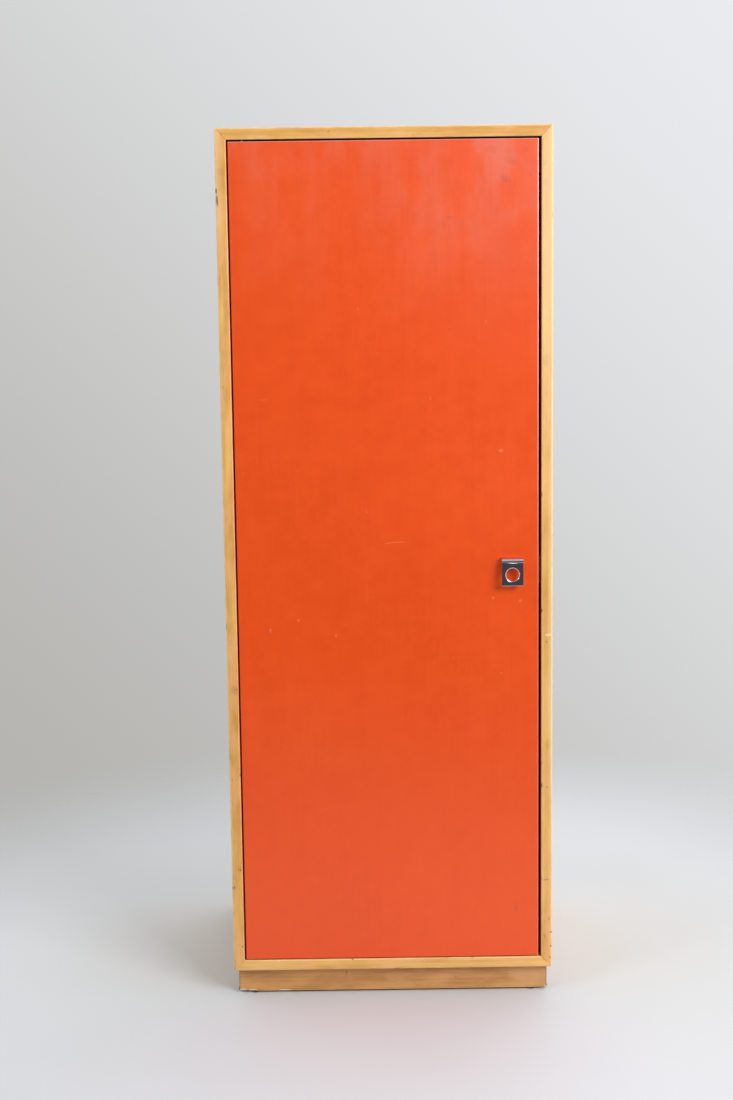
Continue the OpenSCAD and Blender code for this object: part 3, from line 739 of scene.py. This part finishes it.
def make_lipping(side, seed, known=(), cutters=(), **how):
    """A solid strip of the frame front, its two front arrises rounded by hand and by use."""
    section = rounded_outline((
        (0.0, board_y, JOINT_EASE),
        (0.0, front_y, OUTER_ARRIS),
        (strip_w, front_y, INNER_ARRIS),
        (strip_w, board_y, JOINT_EASE * 0.5),
    ), guards=GUARDS)
    length = side_of_frame(side)[3]
    dents = list(known) + random_dents(seed, length, LIPPING_FRONTS, round(length * DENTS_PER_METRE))
    along = "Z" if side in ("left", "right") else "X"
    material = wood("honey_strip_" + side, along, seed, HONEY, **how)
    settle(side + "_lipping_worn", mitred(side, section, dents), material, side + "_lipping", cutters)


def make_board(side, node, seed):
    """A veneered carcass board, mitred at both ends and rebated for the back panel."""
    panel_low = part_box("back_panel")[0]
    rebate_a = panel_low.x - frame_low.x - 0.5 * MM
    section = rounded_outline((
        (0.0, back_y, 1.2 * MM),
        (0.0, board_y, JOINT_EASE),
        (strip_w, board_y, JOINT_EASE * 0.5),
        (strip_w, panel_low.y, 0.3 * MM),
        (rebate_a, panel_low.y, 0.1 * MM),
        (rebate_a, back_y, 0.6 * MM),
    ), steps=4)
    length = side_of_frame(side)[3]
    dents = random_dents(seed + 40, length, ((0.0, back_y),), BACK_DENTS)
    upright = side in ("left", "right")
    material = veneer("veneer_" + side, "Z" if upright else "X", seed)
    settle(node + "_veneered", mitred(side, section, dents), material, node)


def mortise_tools(name, plate, bore_node, up):
    """Cutters for a pivot plate let into a strip, and for the pin or bush behind it."""
    low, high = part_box(plate)
    play = Vector((PLATE_PLAY, PLATE_PLAY))
    end_r = ((high.y - low.y) / 2 + PLATE_PLAY) * 0.999
    outline = rounded_outline(rectangle(low.xy - play, high.xy + play, (end_r,) * 4), steps=12)
    stadium = [tuple(point) for point, _ in outline]
    bore_low, bore_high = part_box(bore_node)
    middle = (bore_low + bore_high) / 2
    radius = (bore_high.x - bore_low.x) / 2 + BORE_PLAY
    face, bore_end = (low.z, bore_high.z) if up else (high.z, bore_low.z)
    inwards = 1 if up else -1
    mouth = face - inwards * 1 * MM
    bore = ring(middle.x, middle.y, radius)
    return [tool(name + "_mortise", lambda share: stadium, mouth, face + inwards * (high.z - low.z), "Z"),
            tool(name + "_bore", bore, mouth, bore_end + inwards * BORE_PLAY, "Z")]


# Marks on the front in millimetres in X and Z, as Finish.marks() takes them; gap light as wood() takes it
LEFT_KNOTS = ((-290, 1524, 9, 9), (-299, 64, 5, 18), (-286, 590, 11, 11, 10), (-283, 250, 9, 10))
LEFT_SCARS = (
    (-297.8, 1491, 1.4, 6, 3), (-296.2, 1474, 1.5, 13, 5), (-278, 283, 1.5, 1.5),
    (-284, 248, 1.6, 3.0, 20), (-279, 240, 1.5, 1.5), (-281, 262, 1.2, 1.2), (-283, 99, 2.4, 1.6, -20),
    (-295, 421, 1.2, 1.6), (-283, 592, 2.0, 1.2), (-295, 214, 1.4, 4.0, 4), (-288, 420, 1.1, 1.1),
)
RIGHT_KNOTS = ((288, 1499, 13, 10), (287, 1187, 10, 14), (292, 480, 8, 12))
RIGHT_SCARS = (
    (289, 673, 1.5, 1.5), (290, 399, 1.5, 1.5), (288, 221, 8.0, 0.9, 3), (297, 119, 1.5, 2.0),
    (297, 92, 1.4, 2.0), (296, 70, 1.8, 2.4), (285.5, 65.5, 8, 0.9, -45),
)
RIGHT_SCRAPES = ((293, 686, 8.6, 3.0),)
# Painted light: glare at the top of both stiles and down the right stile's outer edge
LEFT_GLARE = ((-308, 1590, 24, 330),)
RIGHT_GLARE = ((293, 1420, 20, 480), (300, 800, 10, 760))
# Painted light and shade inside the gaps round the door: the door's orange light on the faces at the sides,
# deep shade at the top
LEFT_GAP_LIGHT = (0, -280.2, -279.4, linear(244, 70, 10))
RIGHT_GAP_LIGHT = (0, 279.9, 279.1, linear(168, 84, 32))
TOP_GAP_LIGHT = (1, 1579.9, 1579.1, linear(84, 24, 12))
PLINTH_SCRAPES = ((-286, 5.2, 8, 4.4), (-267, 4.8, 9, 3.6), (-206, 4.6, 14, 2.4))
# Painted light: glare at the plinth's right end
PLINTH_GLARE = ((262, 30, 50, 26),)
# The two tall marks at the plinth's ends are painted shade on its front corners, partly wear; the rest are
# nicks
PLINTH_SCARS_AND_SHADE = ((-88, 38, 1.4, 3.6, 4), (-292, 28, 1.7, 40), (292, 28, 1.7, 40), (-276.5, 5, 1.4, 3))


def known_dents(marks, arris, along, bare=False):
    """Dents from (place, half length, depth) marks in millimetres. along(place) is a dent's s."""
    return [Dent(along(place), arris, half * MM, depth * MM, bare) for place, half, depth in marks]


def make_carcass():
    outer, inner = LIPPING_FRONTS
    left_marks = ((1491, 6, 0.7), (1474, 11, 0.9), (1454, 6, 0.3), (213, 4, 0.6), (56, 7, 0.9))
    right_marks = ((119, 2, 0.7), (92, 2, 0.6), (686, 3, 0.5), (1530, 4, 0.5))
    left_known = known_dents(left_marks, outer, lambda z: z * MM - frame_low.z)
    right_known = known_dents(right_marks, outer, lambda z: frame_high.z - z * MM)
    bottom_known = known_dents(((-215, 1.6, 0.8),), inner, lambda x: frame_high.x - x * MM, bare=True)
    bottom_known += known_dents(((8, 4.5, 0.9),), outer, lambda x: frame_high.x - x * MM)
    make_lipping("left", 1, left_known, depth=0.07, knots=LEFT_KNOTS, scars=LEFT_SCARS, faded=LEFT_GLARE,
                 stained=LEFT_GAP_LIGHT)
    make_lipping("right", 2, right_known, depth=-0.03, knots=RIGHT_KNOTS, scars=RIGHT_SCARS,
                 scrapes=RIGHT_SCRAPES, faded=RIGHT_GLARE, stained=RIGHT_GAP_LIGHT)
    make_lipping("top", 3, depth=0.12, stained=TOP_GAP_LIGHT,
                 cutters=mortise_tools("upper", "upper_frame_plate", "upper_pivot_bush", True))
    make_lipping("bottom", 4, bottom_known, depth=-0.06,
                 cutters=mortise_tools("lower", "lower_frame_plate", "lower_pivot_pin", False))
    make_board("left", "left_side_panel", 5)
    make_board("right", "right_side_panel", 6)
    make_board("top", "top_panel", 7)
    make_board("bottom", "bottom_panel", 8)


# ---- plain boards: the plinth and the shelf ----


def bar(node, suffix, along, material, radius, ends=None, dents=(), step=None, cutters=()):
    """A board in place of a CAD box, its arrises and ends rounded. A radius or ends may be one number
    or a tuple, with one for each arris or for each end."""
    radii = radius if isinstance(radius, tuple) else (radius,) * 4
    low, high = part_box(node)
    size = high - low
    axis = "XYZ".index(along)
    first, second = (axis + 1) % 3, (axis + 2) % 3
    corners = rectangle((low[first], low[second]), (high[first], high[second]), radii)
    section = rounded_outline(corners, steps=4, guards=GUARDS if dents else ())
    start_r, end_r = ends if isinstance(ends, tuple) else (ends or radii[0],) * 2

    def place(a, b, s):
        point = Vector((0.0, 0.0, 0.0))
        point[first], point[second], point[axis] = a, b, s
        return point

    start, end = low[axis], high[axis]
    turns = [(1 - math.sin(t), 1 - math.cos(t)) for t in (math.pi / 2 * k / 4 for k in range(5))]
    stations = [(start + start_r * back, 0, start_r * inset) for back, inset in reversed(turns)]
    stations += [(s, 0, 0.0) for s in spread(start + start_r, end - end_r, step or size[axis], dents)[1:-1]]
    stations += [(end - end_r * back, 0, end_r * inset) for back, inset in turns]
    settle(node + suffix, sweep(section, stations, place, dents), material, node, cutters)


PLINTH_EDGE = 0.9 * MM
PLINTH_FOOT_EDGE = 2.4 * MM  # the front board's lower arris, worn by feet
SQUARE_END = 0.3 * MM

# Place along the board, half length and depth of its chips, in millimetres
PALE_CHIPS = ((3, 6, 2.6), (10, 5, 2.2), (21, 5, 1.8), (29, 5, 1.3), (80, 6, 0.6), (92, 6, 0.6),
              (150, 4, 0.4), (581, 3, 1.6))
DARK_CHIPS = ((16, 2, 1.2), (38, 3, 0.5))


def plinth_wood(name, along, seed, **marks):
    return wood(name, along, seed, PLINTH, gloss=0.46, fleck=0.8, **marks)


def make_plinth():
    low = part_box("plinth_front")[0]
    foot = (low.y, low.z)
    chips = known_dents(PALE_CHIPS, foot, lambda x: low.x + x * MM, bare=True)
    chips += known_dents(DARK_CHIPS, foot, lambda x: low.x + x * MM)
    front_wood = plinth_wood("plinth_front_wood", "X", 11, scars=PLINTH_SCARS_AND_SHADE, scrapes=PLINTH_SCRAPES,
                             faded=PLINTH_GLARE)
    radii = (PLINTH_FOOT_EDGE, PLINTH_EDGE, PLINTH_EDGE, PLINTH_EDGE)
    bar("plinth_front", "_worn", "X", front_wood, radii, ends=PLINTH_EDGE, dents=chips, step=30 * MM)
    bar("plinth_back", "_worn", "X", plinth_wood("plinth_back_wood", "X", 12), PLINTH_EDGE, step=60 * MM)
    side_wood = plinth_wood("plinth_side_wood", "Y", 13)
    for node in ("plinth_left", "plinth_right"):
        bar(node, "_worn", "Y", side_wood, PLINTH_EDGE, ends=SQUARE_END, step=60 * MM)
    finish_node("plinth_corner_blocks", plinth_wood("block_wood", "Z", 16))


def make_interior():
    shelf_wood = veneer("veneer_shelf", "X", 9)
    bar("hat_shelf", "_veneered", "X", shelf_wood, 0.4 * MM, step=90 * MM)
    strip_wood = wood("honey_shelf_strip", "X", 10, HONEY)
    bar("hat_shelf_lipping", "_rounded", "X", strip_wood, 1.6 * MM, ends=0.5 * MM, step=90 * MM)


# ---- the door ----


SHANK_SHARE = 0.52  # of a screw's head
HEAD_DEPTH = 2.4 * MM
HOLE_DEPTH = 4 * MM


def countersinks(node):
    """Cutters for a pair of countersunk screws whose heads lie flush in the door's back."""
    low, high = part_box(node)
    head_r = (high.z - low.z) / 2
    shank_r = head_r * SHANK_SHARE
    middle_z = (low.z + high.z) / 2
    cutters = []
    for i, x in enumerate((low.x + head_r, high.x - head_r)):
        head = ring(x, middle_z, head_r + 0.1 * MM, shank_r)
        cutters.append(tool(f"head_{i}", head, high.y + 0.02 * MM, high.y - HEAD_DEPTH))
        hole = ring(x, middle_z, shank_r * 0.99)
        cutters.append(tool(f"hole_{i}", hole, high.y - HEAD_DEPTH + 0.1 * MM, high.y - HOLE_DEPTH))
    return cutters


DOOR_ARRIS = 1.8 * MM
DOOR_BACK_ARRIS = 1.2 * MM
SKIN_SEAM = 0.12 * MM


def make_door():
    front_paint = paint("enamel_front", True)
    plain_paint = paint("enamel_plain", False)
    bar("door_front_skin", "_painted", "Y", front_paint, DOOR_ARRIS, ends=(DOOR_ARRIS, SKIN_SEAM))
    bar("door_back_skin", "_painted", "Y", plain_paint, DOOR_ARRIS, ends=(SKIN_SEAM, DOOR_BACK_ARRIS),
        cutters=countersinks("pull_screws"))
    for node in ("door_left_stile", "door_right_stile", "door_top_rail", "door_bottom_rail"):
        finish_node(node, plain_paint)


PULL_EDGE = 1.5 * MM
PULL_THICK = 3.0 * MM
PULL_FOOT = 12.0 * MM
PULL_BEND = 11.0 * MM
PULL_FILLET = 4.0 * MM
PULL_COLUMNS = 8  # across the plate, which keeps its reflections flat
FINGER_HOLE_R = 11.5 * MM
FINGER_HOLE_EDGE = 2.3 * MM
FINGER_HOLE_UP = 20.5 * MM


def finger_hole(x, front, z):
    """The cutter of the pull's hole: a bore whose front edge is rolled inwards."""
    wide = FINGER_HOLE_R + FINGER_HOLE_EDGE
    profile = [(front - 1 * MM, wide)]
    for turn in range(8, 91, 8):
        back = FINGER_HOLE_EDGE * (1 - math.cos(math.radians(turn)))
        profile.append((front + back, wide - FINGER_HOLE_EDGE * math.sin(math.radians(turn))))
    profile.append((front + PULL_THICK + 1 * MM, profile[-1][1]))
    rings = [[(a, y, b) for a, b in circle(x, z, radius, 96)] for y, radius in profile]
    return solid_tool("finger_hole", rings)


def make_pull(material):
    """The pull: a plate bent back to a foot at its top, softened all round, with a rolled hole."""
    low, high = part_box("pull_plate")
    front = low.y
    back = front + PULL_THICK
    foot_z = high.z - PULL_FOOT
    sharp = 0.1 * MM
    profile = rounded_outline((
        (front, low.z, 1.2 * MM),
        (back, low.z, 0.5 * MM),
        (back, foot_z, PULL_FILLET),
        (high.y, foot_z, sharp),
        (high.y, high.z, sharp),
        (front, high.z, PULL_BEND),
    ), steps=10)
    bm = bmesh.new()
    side = [bm.verts.new((low.x, point.x, point.y)) for point, _ in profile]
    made = bmesh.ops.extrude_face_region(bm, geom=[bm.faces.new(side)])
    moved = [v for v in made["geom"] if isinstance(v, bmesh.types.BMVert)]
    bmesh.ops.translate(bm, verts=moved, vec=(high.x - low.x, 0, 0))
    bmesh.ops.recalc_face_normals(bm, faces=bm.faces)

    def outside(vertex):
        """On the front, the top or the bottom of the plate, clear of its foot's face."""
        on_front = vertex.co.y < back - 0.2 * MM or vertex.co.z > foot_z + 1 * MM
        return on_front and vertex.co.y < high.y - 0.3 * MM

    rims = [edge for edge in bm.edges
            if edge.verts[0].co.x == edge.verts[1].co.x and all(outside(v) for v in edge.verts)]
    bmesh.ops.bevel(bm, geom=rims, offset=PULL_EDGE, offset_type="OFFSET", segments=5, profile=0.5,
                    affect="EDGES", clamp_overlap=True)
    for k in range(1, PULL_COLUMNS):
        x = low.x + (high.x - low.x) * k / PULL_COLUMNS
        bmesh.ops.bisect_plane(bm, geom=bm.verts[:] + bm.edges[:] + bm.faces[:], plane_co=(x, 0, 0),
                               plane_no=(1, 0, 0))
    hole = finger_hole((low.x + high.x) / 2, front, low.z + FINGER_HOLE_UP)
    settle("pull_plate_chromed", bm, material, "pull_plate", [hole], sharp=42)


# ---- CAD nodes that stay, with better materials ----


def finish_node(node, material):
    for place in frame["nodes"][node].material_slots:
        place.material = material


def finish_hardware(chrome):
    zinc = metal("zinc_plate", (0.52, 0.53, 0.55), (0.34, 0.33, 0.31), 0.28, 0.22, 0.00002)
    dull = metal("zinc_dull", (0.30, 0.30, 0.31), (0.20, 0.18, 0.16), 0.48, 0.20, 0.00003)
    nylon = moulded("nylon", (0.74, 0.71, 0.62), (0.54, 0.49, 0.40), 0.36)
    ferrite = moulded("ferrite", (0.045, 0.045, 0.05), (0.10, 0.09, 0.08), 0.50, 1600.0, 0.00005)
    glide = moulded("glide_plastic", (0.035, 0.031, 0.028), (0.11, 0.10, 0.09), 0.42)
    bush = moulded("nylon_aged", (0.16, 0.14, 0.11), (0.09, 0.08, 0.06), 0.42)
    felt = moulded("felt", (0.15, 0.13, 0.11), (0.07, 0.06, 0.05), 0.80, 1300.0, 0.00035, sheen_weight=0.5)
    by_slot = {"zinc_steel": zinc, "nylon": nylon, "ferrite": ferrite, "dark_plastic": glide, "felt": felt,
               "chrome": chrome, "plywood": plywood("birch_plywood")}
    for node, slot in SLOT_OF.items():
        if slot in by_slot:
            finish_node(node, by_slot[slot])
    plates = ("upper_frame_plate", "lower_frame_plate", "upper_door_plate", "lower_door_plate")
    for node in plates + ("frame_plate_screws", "door_plate_screws", "upper_pivot_pin", "lower_pivot_pin"):
        finish_node(node, dull)
    for node in ("upper_pivot_bush", "lower_pivot_bush", "thrust_washer"):
        finish_node(node, bush)
    finish_node("door_stop_blocks", wood("honey_block", "Z", 15, HONEY))
    finish_node("door_core", wood("core_wood", "Z", 17, HONEY))
    eased = {
        0.2: ("thrust_washer", "catch_pole_plates", "catch_magnet"),
        0.25: plates,
        0.3: ("clothes_rail", "strike_plate", "upper_pivot_bush", "lower_pivot_bush"),
        0.4: ("door_stop_pads",),
        0.5: ("rail_socket_left", "rail_socket_right", "upper_pivot_pin", "lower_pivot_pin", "shelf_pins"),
        0.8: ("catch_housing", "plinth_corner_blocks"),
        1.0: ("door_stop_blocks",),
    }
    for width, nodes in eased.items():
        for node in nodes:
            soften(node, width * MM)


# ---- stage, light and camera ----

FLOOR_RADIUS = 7.0
FLOOR_FADE = (0.8, 1.8)  # the floor fades into the backdrop between these distances
FLOOR_COLOUR = linear(205, 209, 214)
# Painted shade towards the back left of the floor
FLOOR_FAR_SHADE = linear(180, 181, 181)
# Painted shade under the plinth
FLOOR_UNDER_SHADE = linear(26, 18, 16)


def make_floor():
    bm = bmesh.new()
    bmesh.ops.create_circle(bm, cap_ends=True, segments=96, radius=FLOOR_RADIUS)
    floor = mesh_object("floor", bm)
    mat = Finish("floor")
    parts = mat.parts(mat.place)
    square = mat.math("MULTIPLY_ADD", parts["X"], parts["X"], mat.times(parts["Y"], parts["Y"]))
    alpha = mat.span(mat.math("SQRT", square), *FLOOR_FADE, 1.0, 0.0)
    tone = mat.noise(mat.place, 2.0, 3)
    colour = mat.mix(mat.span(tone, 0.3, 0.7), FLOOR_COLOUR, tuple(c * 0.97 for c in FLOOR_COLOUR))
    # Painted shade: the floor darker towards the back and the left
    far_left_shade = mat.total((0.8, parts["Y"]), (-0.6, parts["X"]))
    colour = mat.mix(mat.span(far_left_shade, 0.3, 2.4), colour, FLOOR_FAR_SHADE)
    # Painted shade: the floor darkened under the plinth and a few millimetres round it
    low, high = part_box("plinth_left")[0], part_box("plinth_right")[1]
    under = 1.0
    for axis in (0, 1):
        middle = (low[axis] + high[axis]) / 2
        half = high[axis] - middle
        off = mat.math("ABSOLUTE", mat.math("SUBTRACT", parts[axis], middle))
        under = mat.times(under, mat.span(off, half + 1.5 * MM, half + 4.5 * MM, 1.0, 0.0))
    colour = mat.mix(under, colour, FLOOR_UNDER_SHADE)
    floor.data.materials.append(mat.finish(colour, 0.75, Alpha=alpha))


# Painted shade on the backdrop: darker to the lower left, lighter to the upper right
BACKDROP_DARK = linear(179, 178, 174)
BACKDROP_LIGHT = linear(236, 237, 240)
ROOM_LIGHT = 0.615  # from every side
ROOM_TINT = (0.98, 0.99, 1.0)


def make_world():
    """A pale backdrop for the eye, with painted shade that leaves it a little lighter to the right and
    upwards; for the lighting, an evenly lit room, brighter at its sides and back, and darkest where the
    onlooker stands."""
    world = bpy.data.worlds.new("studio")
    bpy.context.scene.world = world
    world.use_nodes = True
    world.node_tree.nodes.clear()
    sky = Nodes(world.node_tree)
    direction = sky.add("TexCoord").outputs["Generated"]

    def facing(towards, narrow, wide, inside, outside=0.0):
        """inside within the narrow angle of a direction, outside beyond the wide one."""
        dot = sky.vector("DOT_PRODUCT", direction, Vector(towards).normalized())["Value"]
        reach = [math.cos(math.radians(angle)) for angle in (wide, narrow)]
        return sky.span(dot, *reach, outside, inside)

    right_wall = facing((1.0, -0.25, 0.35), 15, 75, 0.68)
    left_wall = facing((-1.0, -0.25, 0.25), 15, 75, 0.37)
    back_wall = facing((0.0, 1.0, 0.35), 20, 85, 0.32)
    lit = sky.total((1.0, right_wall), (1.0, left_wall), (1.0, back_wall), (1.0, ROOM_LIGHT))
    onlooker = facing((0.0, -1.0, 0.22), 28, 66, 0.12, 1.0)
    room = sky.add("Background", (*ROOM_TINT, 1.0), sky.times(lit, onlooker)).outputs[0]
    painted_shading = facing((0.70, 0.0, 0.71), 63, 117, 1.0)
    backdrop = sky.add("Background", sky.mix(painted_shading, BACKDROP_DARK, BACKDROP_LIGHT)).outputs[0]
    to_the_eye = sky.add("LightPath").outputs["Is Camera Ray"]
    sky.add("OutputWorld", sky.add("MixShader", to_the_eye, room, backdrop).outputs[0])


LIGHT_TARGET_Z = 0.9
LIGHTS = (
    # name, azimuth, elevation, distance, (width, height), watts, colour
    ("window", 40, 27, 3.4, (1.7, 1.7), 85, (1.0, 0.995, 0.985)),
    ("fill", -52, 26, 3.6, (1.0, 1.0), 19.5, (0.90, 1.0, 0.96)),
    ("panel", 11.3, 29, 3.5, (0.042, 2.4), 0.16, (0.90, 1.0, 1.0)),
    ("strip", 10.4, 11, 3.12, (0.024, 0.5), 0.08, (1.0, 1.0, 1.0)),
    ("behind", 155, 42, 3.8, (2.2, 2.2), 26, (1.0, 0.995, 0.985)),
)


def make_lights():
    """Soft lights at angles seen from the door: azimuth to the right of straight ahead."""
    target = Vector((0.0, front_y, LIGHT_TARGET_Z))
    for name, azimuth, elevation, distance, size, power, colour in LIGHTS:
        a, e = math.radians(azimuth), math.radians(elevation)
        offset = Vector((math.sin(a) * math.cos(e), -math.cos(a) * math.cos(e), math.sin(e)))
        data = bpy.data.lights.new(name, "AREA")
        data.shape = "RECTANGLE"
        data.size, data.size_y = size
        data.energy = power
        data.color = colour
        light = into_scene(name, data)
        turned = offset.to_track_quat("Z", "Y").to_matrix().to_4x4()
        light.matrix_world = Matrix.Translation(target + offset * distance) @ turned
        light.visible_camera = False


CAMERA_PLACE = (-0.0465, 2.5371, 1.1321)  # x, distance in front of the frame, height
CAMERA_LENS = 45.82
CAMERA_PITCH = math.radians(6.404)  # downwards
CAMERA_YAW = math.radians(0.149)
CAMERA_ROLL = math.radians(0.751)


def make_camera():
    data = bpy.data.cameras.new("camera")
    data.lens = CAMERA_LENS
    x, ahead_of_frame, height = CAMERA_PLACE
    placed = Matrix.Translation((x, front_y - ahead_of_frame, height))
    for angle, axis in ((-CAMERA_YAW, "Z"), (math.pi / 2 - CAMERA_PITCH, "X"), (-CAMERA_ROLL, "Z")):
        placed = placed @ Matrix.Rotation(angle, 4, axis)
    camera = into_scene("camera", data)
    camera.matrix_world = placed
    bpy.context.scene.camera = camera


make_camera()
make_world()
make_lights()
make_floor()
chrome = metal("chrome", (0.73, 0.64, 0.72), (0.50, 0.46, 0.50), 0.012, 0.02, 0.000001, pitted=0.98)
make_carcass()
make_plinth()
make_interior()
make_door()
make_pull(chrome)
finish_hardware(chrome)
bpy.context.scene.view_settings.view_transform = "Standard"
